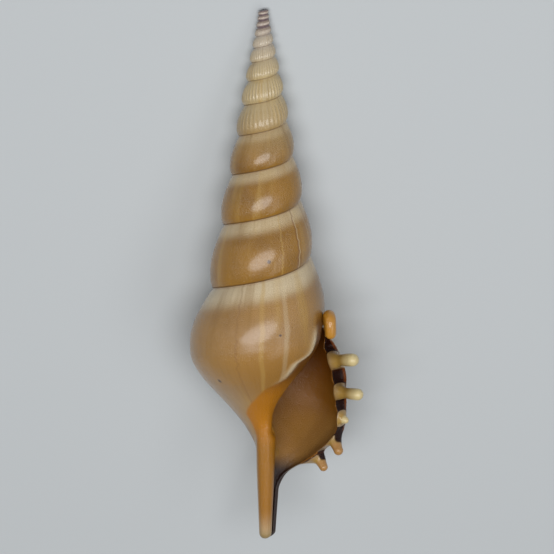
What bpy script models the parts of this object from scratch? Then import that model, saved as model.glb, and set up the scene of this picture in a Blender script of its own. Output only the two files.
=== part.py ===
"""A tibia shell as one closed solid: pointed spire, body whorl, fingered lip and open canal.

The shell is worked out lying along its coiling axis, in millimetres: "depth" is the distance from
the point where the coil would start, growing towards the canal, and "turn" counts whorls, 0 at
the lip and less towards the apex.  It is then laid in its rest pose, in metres, apex towards +Y.
"""

import math

import bmesh
import bpy
from mathutils import Matrix, Vector

MM = 0.001

# The coil: each suture lies GROWTH times as far from the start as the one a turn before it.
GROWTH = 1.28
APEX_DEPTH = 3.7
LIP_SUTURE = 92.3
TIP_DEPTH = 153.1
SUTURE_SLOPE = 0.174
BELLY_EARLY = 0.250
BELLY_LATE = 0.2327
BELLY_AT = 0.75
TIP_ROUNDING = 1.6
BLUNT = 0.55
BLUNT_FADE = 3.0
BLUNT_TOP = 1.06
FLATTER_TURNS = 6.0
TUCK_TURNS = 0.12

# The body whorl, at the right, front, left, back and lip: one value a quarter of a turn.
BELLY_RADIUS = (16.8, 18.3, 20.6, 18.6, 22.7)
BELLY_DEPTH = (87.2, 92.9, 96.8, 102.2, 107.9)
TAPER_START = (92.3, 95.1, 98.8, 110.2, 119.0)
TAPER_END = (117.9, 120.7, 126.6, 134.2, 140.0)
NECK_SHARE = (0.92, 0.97, 0.75, 1.08, 1.75)
NECK_TIP = 2.0
NECK_SLOPE = 0.05
FOLD = 1.35
FOLD_DEPTH = 121.5
FOLD_LENGTH = 3.0
FOLD_TURNS = 0.25

# The lip and the hollow behind it.
WALL = 1.25
ROOF = 1.7
LIP_ROOF = 6.0
ROOF_TURNS = 0.05
WALL_TURNS = 0.12
WALL_GROWTH = 0.7
LIP_THICKNESS = 3.2
LOW_LIP_THICKNESS = 1.9
CANAL_THICKNESS = 1.0
THICKNESS_SHARE = 0.45
LIP_GROWN = 7.0
CANAL_THINNED = 12.0
LIP_TURNS = 0.3
SHIFT_DROP = 4.0
LIP_TURN = 0.021
LOW_LIP_TURN = 0.014
LIP_TOP = 104.0
LIP_FOOT = 122.0
SCALLOP_TURN = 0.011
SCALLOP_WIDTH = 3.2
TOP_NOTCH = 97.9
TOP_NOTCH_TURN = 0.008
TOP_NOTCH_WIDTH = 2.5
PRONG_RIM_TURN = 0.015
NOTCH_RIM_TURN = 0.035
CANAL_TURN = -0.095
CANAL_EDGE_START = 129.0
CANAL_EDGE_END = 136.0
HOLLOW_TURNS = 1.25
HOLLOW_BOTTOM = 141.0
BOTTOM_TURNS = 0.35
HOLLOW_ROUNDING = 0.02
CANAL_START = 118.0
CANAL_FORMED = 14.0
GROOVE_SHARE = 0.28
GROOVE_TURNS = 0.15

# Fingers, teeth and the hook: points (sideways, depth, forwards) from root to tip.
HOOK = (
    (18.4, 94.2, 1.8),
    (17.9, 91.6, 2.6),
    (17.8, 89.4, 3.9),
    (17.9, 88.2, 5.5),
    (18.2, 89.0, 7.2),
    (18.3, 91.2, 7.5),
    (18.3, 93.6, 7.0),
)
UPPER_FINGER = ((19.2, 101.2, 4.2), (21.6, 100.2, 7.4), (24.8, 99.2, 11.8))
LOWER_FINGER = ((20.4, 110.0, 4.2), (23.0, 109.7, 7.2), (26.2, 109.2, 10.9))
BLUNT_TOOTH = ((21.2, 117.8, 3.0), (22.8, 118.2, 4.4))
SLANT_TOOTH = ((19.4, 124.0, 2.4), (20.7, 127.0, 5.2))
END_TOOTH = ((15.2, 129.7, 1.0), (16.6, 132.2, 3.0))
STEP = 0.05
DOME_SHARE = 0.45
END_SHARE = 0.75
FLARE = 0.55
BULB_START = 0.5
BULB_LENGTH = 0.35
# Each path with its radius at the root, along the neck and at the tip, and its number of rings.
PRONGS = (
    (HOOK, 1.4, 1.5, 1.5, 9),
    (UPPER_FINGER, 2.6, 1.35, 1.8, 6),
    (LOWER_FINGER, 2.4, 1.3, 1.7, 6),
    (BLUNT_TOOTH, 2.6, 1.5, 1.1, 3),
    (SLANT_TOOTH, 2.3, 1.6, 1.35, 3),
    (END_TOOTH, 2.1, 1.5, 1.3, 3),
)

# The mesh: columns to a turn, rows to a whorl, rows below the last suture, and across the rim.
COLUMNS = 22
WHORL_ROWS = 4
BODY_ROWS = 26
RIM_COLUMNS = 3
HOLLOW_COLUMNS = 22
HOLLOW_CROWDING = 1.2
LAST_ROW = WHORL_ROWS + BODY_ROWS
WAIST_DROP = 4.0
LIP_ROWS_SHARE = 0.7
LIP_ROWS_END = 136.0
TIP_CROWDING = 1.4

# The rest pose: the mouth looks up, and the apex end comes down to the ground.
PITCH = math.radians(-10.646)

SHELL_COLOUR = (0.40, 0.22, 0.09, 1.0)


def clamp(x):
    return min(1.0, max(0.0, x))


def smooth(x):
    x = clamp(x)
    return x * x * (3 - 2 * x)


def mix(a, b, share):
    return a + (b - a) * share


def curve_through(values, at):
    """The value at a place counted in steps along a smooth curve through the values."""
    last = len(values) - 1
    step = min(int(at), last - 1)
    f = at - step
    before, start = values[max(step - 1, 0)], values[step]
    end, after = values[step + 1], values[min(step + 2, last)]
    slope_start, slope_end = (end - before) * 0.5, (after - start) * 0.5
    return (
        start * (1 + 2 * f) * (1 - f) ** 2
        + slope_start * f * (1 - f) ** 2
        + end * f * f * (3 - 2 * f)
        + slope_end * f * f * (f - 1)
    )


def around_body(values, turn):
    return curve_through(values, clamp(turn + 1) * (len(values) - 1))


def suture_depth(turn):
    return LIP_SUTURE * GROWTH**turn


def blunt(depth):
    """What the worn, broken-off apex adds to the radius of the first whorls."""
    return BLUNT * math.exp((APEX_DEPTH - depth) / BLUNT_FADE)


def suture_radius(turn):
    return SUTURE_SLOPE * suture_depth(turn) + blunt(suture_depth(turn))


def neck_radius(turn, depth):
    """The canal's radius, which narrows and rounds off at the tip; the columella is folded above it."""
    radius = NECK_TIP + NECK_SLOPE * max(0.0, TIP_DEPTH - depth)
    end = clamp((depth - (TIP_DEPTH - TIP_ROUNDING)) / TIP_ROUNDING)
    fold = FOLD * (1 - smooth((depth - FOLD_DEPTH) / FOLD_LENGTH)) * (1 - smooth((turn + 1) / FOLD_TURNS))
    return (radius * around_body(NECK_SHARE, turn) - fold) * math.sqrt(max(0.0, 1 - end * end))


def outer_radius(turn, depth):
    """The outer surface's radius on the whorl that passes this turn, also where a later whorl hides it."""
    extra = blunt(depth)
    if turn <= -1:
        scale = GROWTH ** (turn + 1)
        depth /= scale
        early = clamp((-turn - 1) / FLATTER_TURNS)
        belly = mix(BELLY_LATE, BELLY_EARLY, early) * suture_depth(-1)
        belly_depth = suture_depth(-1) + BELLY_AT * (LIP_SUTURE - suture_depth(-1))
        top, start, end = suture_depth(-1), LIP_SUTURE, TAPER_END[0]
        tuck = 1.0
    else:
        scale = 1.0
        belly = around_body(BELLY_RADIUS, turn)
        belly = mix(BELLY_LATE * suture_depth(-1), belly, smooth((turn + 1) / TUCK_TURNS))
        belly_depth = around_body(BELLY_DEPTH, turn)
        top, start, end = suture_depth(turn), around_body(TAPER_START, turn), around_body(TAPER_END, turn)
        tuck = 1 - smooth((turn + 1) / TUCK_TURNS)
    held = mix(belly, SUTURE_SLOPE * LIP_SUTURE, tuck)
    if depth < belly_depth:
        low = SUTURE_SLOPE * top
        radius = mix(low, belly, math.sin(math.pi / 2 * clamp((depth - top) / (belly_depth - top))))
    elif depth < start:
        radius = mix(belly, held, ((depth - belly_depth) / (start - belly_depth)) ** 3)
    else:
        neck = neck_radius(turn, depth)
        radius = mix(held, neck, smooth((depth - start) / (end - start)))
    return radius * scale + extra


def row_depth(turn, row):
    """The depth of a row of the body whorl; the rows crowd together along the lip."""
    waist = LIP_SUTURE + WAIST_DROP * smooth(turn + 1)
    if row <= WHORL_ROWS:
        return mix(suture_depth(turn), waist, row / WHORL_ROWS)
    share = (row - WHORL_ROWS) / BODY_ROWS
    if share < LIP_ROWS_SHARE:
        return mix(waist, LIP_ROWS_END, share / LIP_ROWS_SHARE)
    left = (1 - share) / (1 - LIP_ROWS_SHARE)
    return mix(TIP_DEPTH, LIP_ROWS_END, left**TIP_CROWDING)


def scallop(depth):
    """1 at the root of a finger or tooth, falling to 0 in the notches between them."""
    nearest = min(abs(depth - prong[0][0][1]) for prong in PRONGS)
    return 1 - smooth(nearest / SCALLOP_WIDTH)


def down_lip(depth):
    return smooth((depth - LIP_TOP) / (LIP_FOOT - LIP_TOP))


def edge_turn(depth):
    """Where the lip's margin stands: it is scalloped, and it swings back along the open canal."""
    lip = mix(LIP_TURN, LOW_LIP_TURN, down_lip(depth)) + SCALLOP_TURN * (2 * scallop(depth) - 1)
    lip -= TOP_NOTCH_TURN * math.exp(-(((depth - TOP_NOTCH) / TOP_NOTCH_WIDTH) ** 2))
    canal = smooth((depth - CANAL_EDGE_START) / (CANAL_EDGE_END - CANAL_EDGE_START))
    return mix(lip, CANAL_TURN, canal)


def place(radius, turn, depth):
    angle = math.tau * turn
    return Vector((radius * math.cos(angle), -depth, radius * math.sin(angle)))


def spire_point(turn, row):
    share = row / WHORL_ROWS
    depth = suture_depth(turn) * (1 + (GROWTH - 1) * share)
    if row == WHORL_ROWS:
        return place(suture_radius(turn + 1), turn, suture_depth(turn + 1))
    return place(outer_radius(turn, depth), turn, depth)


def body_point(turn, row):
    if turn <= -1 and row <= WHORL_ROWS:
        return spire_point(turn, row)
    depth = row_depth(turn, row)
    if row == 0:
        return place(suture_radius(turn), turn, suture_depth(turn))
    radius = outer_radius(turn, depth)
    shift = edge_turn(depth) * smooth((turn + LIP_TURNS) / LIP_TURNS)
    shift *= smooth((depth - LIP_SUTURE) / SHIFT_DROP)
    return place(radius, turn + shift, depth)


def inner_edge(row):
    """The lip's inner edge, as a radius, a turn and a depth."""
    depth = row_depth(0, row)
    radius = outer_radius(0, depth)
    grown = smooth((depth - LIP_SUTURE) / LIP_GROWN)
    slim = smooth((depth - CANAL_EDGE_START) / CANAL_THINNED)
    thickness = mix(LIP_THICKNESS, LOW_LIP_THICKNESS, down_lip(depth))
    radius -= grown * min(mix(thickness, CANAL_THICKNESS, slim), THICKNESS_SHARE * radius)
    turn = edge_turn(depth) + mix(NOTCH_RIM_TURN, PRONG_RIM_TURN, scallop(depth)) * (1 - slim)
    return radius, turn * grown, depth


def rim_point(across, row):
    """Across the lip's end face, from its outer margin at 0 to its inner edge at 1."""
    outside = body_point(0, row)
    radius, turn, depth = inner_edge(row)
    return outside.lerp(place(radius, turn, depth), across)


def columella_radius(back, depth):
    """The hollow's inner wall: the whorl before, thinned to a groove along the canal."""
    radius = outer_radius(-1 - back, depth)
    canal = smooth((depth - CANAL_START) / CANAL_FORMED)
    share = mix(1.0, GROOVE_SHARE, smooth(back / GROOVE_TURNS))
    return radius * mix(1.0, share, canal)


def hollow_bottom(back):
    closed = HOLLOW_BOTTOM * GROWTH**-back
    return mix(TIP_DEPTH, closed, smooth(back / BOTTOM_TURNS))


def hollow_point(back, row):
    """A point of the hollow's wall, back turns behind the lip: down its outer wall, then up the columella."""
    inner = row > LAST_ROW
    rung = 2 * LAST_ROW - row if inner else row
    shrink = GROWTH ** (-WALL_GROWTH * back)
    roof = mix(LIP_ROOF, ROOF * shrink, smooth(back / LIP_TURNS)) * smooth(back / ROOF_TURNS)
    roof += suture_depth(-back)
    floor = hollow_bottom(back)
    if inner:
        share = (row_depth(-1, rung) - LIP_SUTURE) / (TIP_DEPTH - LIP_SUTURE)
    else:
        share = (row_depth(0, rung) - LIP_SUTURE) / (TIP_DEPTH - LIP_SUTURE)
    depth = mix(roof, floor, share)
    column = columella_radius(back, depth)
    outer = outer_radius(-back, depth)
    wall = min(WALL * shrink, 0.5 * max(0.0, outer - column))
    if rung in (0, LAST_ROW) or (inner and rung == WHORL_ROWS):
        radius = (outer - wall + column) / 2
        return place(radius, -back, depth)
    if inner:
        return place(column, -back, depth)
    edge_radius, edge, edge_depth = inner_edge(rung)
    lip = smooth(back / WALL_TURNS)
    radius = mix(edge_radius, outer - wall, lip)
    return place(radius, -back + edge * (1 - smooth(back / LIP_TURNS)), mix(edge_depth, depth, lip))


def grid_sheet(bm, columns, rows, point_of):
    """A grid moved onto the surface that point_of(column, row) gives. The vertices, by column and row."""
    made = bmesh.ops.create_grid(bm, x_segments=columns, y_segments=rows, size=1.0)["verts"]
    sheet = {}
    for vertex in made:
        column = round((vertex.co.x + 1) / 2 * columns)
        row = round((vertex.co.y + 1) / 2 * rows)
        sheet[column, row] = vertex
    for (column, row), vertex in sheet.items():
        vertex.co = point_of(column, row)
    return sheet


def prong_radius(share, root_radius, neck_radius, tip_radius):
    """A prong narrows from its flared root to its neck, and swells a little to its tip."""
    stem = mix(root_radius, neck_radius, smooth(share / FLARE))
    return mix(stem, tip_radius, smooth((share - BULB_START) / BULB_LENGTH))


def prong_frames(path, rings):
    """Along a prong: each ring's centre, the way ahead, and two level directions that don't twist."""
    points = [Vector((x, -depth, forwards)) for x, depth, forwards in path]
    last = len(points) - 1
    along = Vector((0, -1, 0))
    for ring in range(1, rings + 1):
        at = last * ring / rings
        centre = curve_through(points, at)
        ahead = curve_through(points, min(at + STEP, last)) - curve_through(points, at - STEP)
        ahead.normalize()
        if ring == 1:
            across = along.cross(ahead).normalized()
        along = ahead.cross(across).normalized()
        across = along.cross(ahead).normalized()
        yield ring / rings, centre, ahead, along, across


def grow_prong(bm, section, sheet, path, *radii, rings):
    """Extrudes the part of the rim beside a path's root along the path, into a round prong."""
    root = path[0][1]
    rows = [row for row in range(LAST_ROW) if abs(row_depth(0, row + 0.5) - root) < radii[0]]
    low, high = rows[0], rows[-1] + 1
    corners = set()
    for row in range(low, high + 1):
        for column in range(RIM_COLUMNS + 1):
            vertex = sheet[column, row]
            u = 2 * column / RIM_COLUMNS - 1
            w = 2 * (row - low) / (high - low) - 1
            vertex[section] = Vector((u * math.sqrt(1 - w * w / 2), w * math.sqrt(1 - u * u / 2), 0))
            corners.add(vertex)
    faces = [face for face in {f for v in corners for f in v.link_faces} if set(face.verts) <= corners]
    for share, centre, ahead, along, across in prong_frames(path, rings):
        made = bmesh.ops.extrude_face_region(bm, geom=faces)["geom"]
        bmesh.ops.delete(bm, geom=faces, context="FACES")
        faces = [item for item in made if isinstance(item, bmesh.types.BMFace)]
        radius = prong_radius(share, *radii)
        size = radius * (END_SHARE if share == 1 else 1.0)
        for vertex in (item for item in made if isinstance(item, bmesh.types.BMVert)):
            disc = vertex[section]
            vertex.co = centre + (across * disc.x + along * disc.y) * size
            if share == 1:
                vertex.co += ahead * radius * DOME_SHARE * (1 - disc.length)


def build_shell():
    bm = bmesh.new()
    section = bm.verts.layers.float_vector.new("section")
    first_turn = math.log(APEX_DEPTH / LIP_SUTURE) / math.log(GROWTH)
    spire_columns = round((-1 - first_turn) * COLUMNS)
    first_turn = -1 - spire_columns / COLUMNS
    grid_sheet(bm, spire_columns, WHORL_ROWS, lambda column, row: spire_point(first_turn + column / COLUMNS, row))
    grid_sheet(bm, COLUMNS, LAST_ROW, lambda column, row: body_point(column / COLUMNS - 1, row))
    rim = grid_sheet(bm, RIM_COLUMNS, LAST_ROW, lambda column, row: rim_point(column / RIM_COLUMNS, row))
    hollow_rows = 2 * LAST_ROW - WHORL_ROWS
    spacing = [HOLLOW_TURNS * (step / HOLLOW_COLUMNS) ** HOLLOW_CROWDING for step in range(HOLLOW_COLUMNS + 1)]

    def wall_point(column, row):
        if column == 0:
            return rim_point(1, row) if row <= LAST_ROW else body_point(-1, 2 * LAST_ROW - row)
        if column == HOLLOW_COLUMNS:
            middle = 0.5 * (suture_depth(-HOLLOW_TURNS) + hollow_bottom(HOLLOW_TURNS))
            column_radius = columella_radius(HOLLOW_TURNS, middle)
            radius = (column_radius + outer_radius(-HOLLOW_TURNS, middle)) / 2
            return place(radius, -HOLLOW_TURNS - HOLLOW_ROUNDING, middle)
        return hollow_point(spacing[column], row)

    grid_sheet(bm, HOLLOW_COLUMNS, hollow_rows, wall_point)
    for *prong, rings in PRONGS:
        grow_prong(bm, section, rim, *prong, rings=rings)
    bmesh.ops.remove_doubles(bm, verts=bm.verts, dist=0.0005)
    rim_edges = [edge for edge in bm.edges if edge.is_boundary]
    made = bmesh.ops.extrude_edge_only(bm, edges=rim_edges)["geom"]
    apex = [item for item in made if isinstance(item, bmesh.types.BMVert)]
    bmesh.ops.pointmerge(bm, verts=apex, merge_co=Vector((0, -APEX_DEPTH * BLUNT_TOP, 0)))
    bmesh.ops.recalc_face_normals(bm, faces=bm.faces)
    return bm


def lay_down(bm):
    """Turns the shell into its rest pose, on z = 0, centred over the origin, in metres."""
    turn = Matrix.Rotation(PITCH, 4, "X")
    bmesh.ops.transform(bm, matrix=turn, verts=bm.verts)
    places = [vertex.co for vertex in bm.verts]
    low = [min(p[i] for p in places) for i in range(3)]
    high = [max(p[i] for p in places) for i in range(3)]
    centre = Vector(((low[0] + high[0]) / 2, (low[1] + high[1]) / 2, low[2]))
    bmesh.ops.translate(bm, vec=-centre, verts=bm.verts)
    bmesh.ops.scale(bm, vec=(MM, MM, MM), verts=bm.verts)


def shell_material():
    material = bpy.data.materials.new("polished shell")
    material.use_nodes = True
    shader = material.node_tree.nodes["Principled BSDF"]
    shader.inputs["Base Color"].default_value = SHELL_COLOUR
    shader.inputs["Roughness"].default_value = 0.3
    shader.inputs["Metallic"].default_value = 0.0
    return material


def main():
    for old in list(bpy.data.objects):
        bpy.data.objects.remove(old, do_unlink=True)
    bm = build_shell()
    lay_down(bm)
    mesh = bpy.data.meshes.new("shell")
    bm.to_mesh(mesh)
    bm.free()
    mesh.shade_smooth()
    mesh.set_sharp_from_angle(angle=math.radians(50))
    mesh.materials.append(shell_material())
    shell = bpy.data.objects.new("shell", mesh)
    bpy.context.scene.collection.objects.link(shell)


main()
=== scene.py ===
"""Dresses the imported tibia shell: a polished, finely grown shell on a pale floor.

The shell is worked out along its coiling axis, in millimetres.  "depth" is the distance from the
point where the coil would start, growing towards the canal, and "turn" counts whorls, 0 at the lip
and less towards the apex.  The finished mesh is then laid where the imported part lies, in metres.
"""

import math

import bmesh
import bpy
from bpy.props import FloatProperty, FloatVectorProperty, PointerProperty
from bpy.types import Operator, Panel, PropertyGroup
from mathutils import Matrix, Vector


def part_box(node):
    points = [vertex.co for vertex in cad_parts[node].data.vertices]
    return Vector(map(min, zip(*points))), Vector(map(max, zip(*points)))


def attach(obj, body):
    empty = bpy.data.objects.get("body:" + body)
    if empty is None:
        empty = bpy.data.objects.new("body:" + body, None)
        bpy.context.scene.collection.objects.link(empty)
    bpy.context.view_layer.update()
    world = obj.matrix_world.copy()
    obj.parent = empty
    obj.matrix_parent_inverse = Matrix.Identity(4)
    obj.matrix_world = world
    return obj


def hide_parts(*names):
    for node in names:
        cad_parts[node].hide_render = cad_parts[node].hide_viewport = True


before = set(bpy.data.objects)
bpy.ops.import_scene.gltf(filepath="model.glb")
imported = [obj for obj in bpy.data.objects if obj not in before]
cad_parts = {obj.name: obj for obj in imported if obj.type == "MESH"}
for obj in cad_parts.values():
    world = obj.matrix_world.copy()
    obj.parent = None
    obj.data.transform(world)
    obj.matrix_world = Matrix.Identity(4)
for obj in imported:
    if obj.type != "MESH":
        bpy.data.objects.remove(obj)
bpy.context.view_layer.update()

bl_info = {
    "name": "Tibia shell",
    "version": (1, 0, 0),
    "blender": (4, 5, 0),
    "location": "3D View > Sidebar > Shell",
    "description": "Builds a tibia shell with its fingered lip, and a plain stage to see it on",
    "category": "Object",
}

MM = 0.001

# The coil: each suture lies GROWTH times as far from the start as the one a turn before it.
GROWTH = 1.28
APEX_DEPTH = 3.7
LIP_SUTURE = 92.3
TIP_DEPTH = 153.1
SUTURE_SLOPE = 0.174
BELLY_EARLY = 0.250
BELLY_LATE = 0.2327
BELLY_AT = 0.75
TIP_ROUNDING = 1.6
BLUNT = 0.55
BLUNT_FADE = 3.0
BLUNT_TOP = 1.06
FLATTER_TURNS = 6.0
TUCK_TURNS = 0.12

# The body whorl, at the right, front, left, back and lip: one value a quarter of a turn.
BELLY_RADIUS = (16.8, 18.3, 20.6, 18.6, 22.7)
BELLY_DEPTH = (87.2, 92.9, 96.8, 102.2, 107.9)
TAPER_START = (92.3, 95.1, 98.8, 110.2, 119.0)
TAPER_END = (117.9, 120.7, 126.6, 134.2, 140.0)
NECK_SHARE = (0.92, 0.97, 0.75, 1.08, 1.75)
NECK_TIP = 2.0
NECK_SLOPE = 0.05
FOLD = 1.35
FOLD_DEPTH = 121.5
FOLD_LENGTH = 3.0
FOLD_TURNS = 0.25

# The lip and the hollow behind it.  A pair is where something starts and over what length it comes in.
WALL = 1.25
ROOF = 1.7
LIP_ROOF = 6.0
ROOF_TURNS = 0.05
WALL_TURNS = 0.12
WALL_GROWTH = 0.7
LIP_THICKNESS = 3.2
LOW_LIP_THICKNESS = 1.9
CANAL_THICKNESS = 1.0
THICKNESS_SHARE = 0.45
LIP_GROWN = 7.0
CANAL_THINNED = 12.0
LIP_TURNS = 0.3
SHIFT_DROP = 4.0
LIP_TURN = 0.021
LOW_LIP_TURN = 0.014
LIP_TOP = 104.0
LIP_FOOT = 122.0
SCALLOP_TURN = 0.011
SCALLOP_WIDTH = 3.2
LIP_EDGE_EASE = 0.8
PALE_ROOTS = ((102.4, 3.2), (110.9, 3.0), (118.0, 2.3), (126.6, 1.7), (132.0, 1.6))
NOTCHES_START = (93.0, 2.5)
NOTCHES_END = (130.5, 2.0)
TOP_NOTCH = 97.9
TOP_NOTCH_TURN = 0.008
TOP_NOTCH_WIDTH = 2.5
PRONG_RIM_TURN = 0.015
NOTCH_RIM_TURN = 0.035
CANAL_TURN = -0.095
CANAL_EDGE_START = 129.0
CANAL_EDGE_END = 136.0
HOLLOW_TURNS = 1.25
HOLLOW_BOTTOM = 141.0
BOTTOM_TURNS = 0.35
HOLLOW_ROUND_OFF = 3.0
CANAL_START = 118.0
CANAL_FORMED = 14.0
GROOVE_SHARE = 0.28
GROOVE_TURNS = 0.15

# Fingers, teeth and the hook: points (sideways, depth, forwards) from root to tip.
HOOK = (
    (18.4, 94.2, 1.8),
    (17.9, 91.6, 2.6),
    (17.8, 89.4, 3.9),
    (17.9, 88.2, 5.5),
    (18.2, 89.0, 7.2),
    (18.3, 91.2, 7.5),
    (18.3, 93.6, 7.0),
)
UPPER_FINGER = ((19.2, 101.2, 4.2), (21.6, 100.2, 7.4), (24.8, 99.2, 11.8))
LOWER_FINGER = ((20.4, 110.0, 4.2), (23.0, 109.7, 7.2), (26.2, 109.2, 10.9))
BLUNT_TOOTH = ((21.2, 117.8, 3.0), (22.8, 118.2, 4.4))
SLANT_TOOTH = ((19.4, 124.0, 2.4), (20.7, 127.0, 5.2))
END_TOOTH = ((15.2, 129.7, 1.0), (16.6, 132.2, 3.0))
STEP = 0.05
TIP_SET_BACK = 0.6
DOME_RINGS = 5
DOME_END = 0.12
ROOT_SPREAD = 1.7
ROOT_SMOOTHINGS = 6
STAINED_TEETH = (120.0, 3.0)
STAINED_FLANK = 1.2
STAIN_END = (0.35, 0.4)
FLANK_STAIN = 0.9
FLARE = 0.55
BULB = (0.5, 0.35)
# Each path with its radius at the root, along the neck and at the tip, and its number of rings.
PRONGS = (
    (HOOK, 1.5, 1.7, 1.55, 30),
    (UPPER_FINGER, 2.5, 1.55, 1.8, 18),
    (LOWER_FINGER, 2.3, 1.45, 1.65, 18),
    (BLUNT_TOOTH, 2.6, 1.5, 1.1, 6),
    (SLANT_TOOTH, 2.3, 1.6, 1.35, 8),
    (END_TOOTH, 2.1, 1.5, 1.3, 8),
)

# The callus over the columella: the turn at which its edge stands, at each depth.
CALLUS_EDGE = (
    (88.0, -0.91),
    (92.0, -0.902),
    (96.4, -0.893),
    (97.8, -0.887),
    (99.7, -0.842),
    (104.6, -0.82),
    (107.8, -0.75),
    (110.8, -0.71),
    (116.5, -0.60),
    (160.0, -0.60),
)
CALLUS_BLEND = 0.02
CALLUS_START = (87.0, 3.0)
CALLUS_INSIDE = 0.07
RIDGE_TURN = 0.012
RIDGE_START = (89.0, 4.0)
RIDGE_END = (102.0, 5.0)
STAIN_OUTSIDE = 1.5
STAIN_INSIDE = 0.01

# The fine relief: ribs, the groove at a suture and the cord below it as shares of a whorl's height,
# and the swelling along the lip in millimetres from its margin.
RIB_LEAN = 0.012
RIB_SHARPNESS = 1.4
RIBS_FADE = 2.5
RIBS_TO_FADE = 2
RIB_START = (0.08, 0.14)
RIB_END = (0.72, 0.2)
# How far the rib crests are painted pale: paler crests, brightened as a painted highlight.
RIB_CREST_HIGHLIGHT = 0.7
SUTURE_FADE = 0.06
GROOVE_BELOW_SUTURE = 0.035
GROOVE_ABOVE_SUTURE = 0.03
CORD = (0.1, 0.05)
TROUGH = (0.22, 0.06)
TROUGH_SHARE = 0.7
SWELL_START = (LIP_SUTURE + 2.0, 6.0)
SWELL_END = (126.0, 8.0)
SWELL = (2.5, 2.4)
SWELL_TROUGH = (7.0, 3.0)
SWELL_TROUGH_SHARE = 0.6
FAR_FROM_LIP = 100.0

# The mesh: columns to a turn, rows to a whorl, rows below the last suture, and across the rim.
COLUMNS = 180
WHORL_ROWS = 14
BODY_ROWS = 110
RIM_COLUMNS = 10
HOLLOW_COLUMNS = 60
HOLLOW_CROWDING = 1.2
LAST_ROW = WHORL_ROWS + BODY_ROWS
ROW_CROWDING = 0.6
WAIST_DROP = 4.0
LIP_ROWS_SHARE = 0.7
LIP_ROWS_END = 136.0
TIP_CROWDING = 1.4
MERGE_DISTANCE = 0.0001

# What is written on the faces' corners: the place on the coil (turn, share of the whorl, depth), the
# part of the wall (0 outside, 1 inside, more further in; distance to the lip; share of a prong), and
# the marks (callus, its ridge and the painted highlight on the rib crests, the stain of the notches).
CORNER_LAYERS = ("coil", "where", "mark")

# The rest pose: the mouth looks up, and the apex end comes down to the ground.
PITCH = math.radians(-10.646)


def clamp(x):
    return min(1.0, max(0.0, x))


def smooth(x):
    x = clamp(x)
    return x * x * (3 - 2 * x)


def ramp(x, start, length):
    """0 up to the start, and 1 from a length past it."""
    return smooth((x - start) / length)


def mix(a, b, share):
    return a + (b - a) * share


def bell(x, middle, width):
    """1 in the middle, falling away on both sides."""
    return math.exp(-(((x - middle) / width) ** 2))


def curve_through(values, at):
    """The value at a place counted in steps along a smooth curve through the values."""
    last = len(values) - 1
    step = min(int(at), last - 1)
    f = at - step
    before, start = values[max(step - 1, 0)], values[step]
    end, after = values[step + 1], values[min(step + 2, last)]
    slope_start, slope_end = (end - before) * 0.5, (after - start) * 0.5
    return (
        start * (1 + 2 * f) * (1 - f) ** 2
        + slope_start * f * (1 - f) ** 2
        + end * f * f * (3 - 2 * f)
        + slope_end * f * f * (f - 1)
    )


def around_body(values, turn):
    """The value at a turn of the body whorl, from one given every quarter of a turn."""
    return curve_through(values, clamp(turn + 1) * (len(values) - 1))


def suture_depth(turn):
    """The depth at which the suture passes a turn."""
    return LIP_SUTURE * GROWTH**turn


def blunt(depth):
    """What the blunt apex adds to the radius of the first whorls."""
    return BLUNT * math.exp((APEX_DEPTH - depth) / BLUNT_FADE)


def suture_radius(turn):
    return SUTURE_SLOPE * suture_depth(turn) + blunt(suture_depth(turn))


def neck_radius(turn, depth):
    """The canal's radius, which narrows and rounds off at the tip; the columella is folded above it."""
    radius = NECK_TIP + NECK_SLOPE * max(0.0, TIP_DEPTH - depth)
    end = clamp((depth - (TIP_DEPTH - TIP_ROUNDING)) / TIP_ROUNDING)
    fold = FOLD * (1 - ramp(depth, FOLD_DEPTH, FOLD_LENGTH)) * (1 - ramp(turn, -1, FOLD_TURNS))
    return (radius * around_body(NECK_SHARE, turn) - fold) * math.sqrt(max(0.0, 1 - end * end))


def outer_radius(turn, depth):
    """The outer surface's radius on the whorl that passes this turn, also where a later whorl hides it."""
    extra = blunt(depth)
    if turn <= -1:
        scale = GROWTH ** (turn + 1)
        depth /= scale
        early = clamp((-turn - 1) / FLATTER_TURNS)
        belly = mix(BELLY_LATE, BELLY_EARLY, early) * suture_depth(-1)
        belly_depth = suture_depth(-1) + BELLY_AT * (LIP_SUTURE - suture_depth(-1))
        top, start, end = suture_depth(-1), LIP_SUTURE, TAPER_END[0]
        tuck = 1.0
    else:
        scale = 1.0
        belly = around_body(BELLY_RADIUS, turn)
        belly = mix(BELLY_LATE * suture_depth(-1), belly, smooth((turn + 1) / TUCK_TURNS))
        belly_depth = around_body(BELLY_DEPTH, turn)
        top, start, end = suture_depth(turn), around_body(TAPER_START, turn), around_body(TAPER_END, turn)
        tuck = 1 - smooth((turn + 1) / TUCK_TURNS)
    held = mix(belly, SUTURE_SLOPE * LIP_SUTURE, tuck)
    if depth < belly_depth:
        low = SUTURE_SLOPE * top
        radius = mix(low, belly, math.sin(math.pi / 2 * clamp((depth - top) / (belly_depth - top))))
    elif depth < start:
        radius = mix(belly, held, ((depth - belly_depth) / (start - belly_depth)) ** 3)
    else:
        neck = neck_radius(turn, depth)
        radius = mix(held, neck, smooth((depth - start) / (end - start)))
    return radius * scale + extra


def whorl_share(turn, depth):
    """How far down its whorl a place lies: 0 at the suture above, 1 level with the one below."""
    top = suture_depth(turn)
    return (depth - top) / (top * (GROWTH - 1))


def callus_edge(depth):
    """The turn at which the callus ends, at a depth."""
    for (low, before), (high, after) in zip(CALLUS_EDGE, CALLUS_EDGE[1:]):
        if depth < high:
            return mix(before, after, clamp((depth - low) / (high - low)))
    return CALLUS_EDGE[-1][1]


def callus_ridge(turn, depth):
    """1 along the raised edge of the callus, beside the upper mouth."""
    along = ramp(depth, *RIDGE_START) * (1 - ramp(depth, *RIDGE_END))
    return along * bell(turn, callus_edge(depth), RIDGE_TURN)


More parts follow.
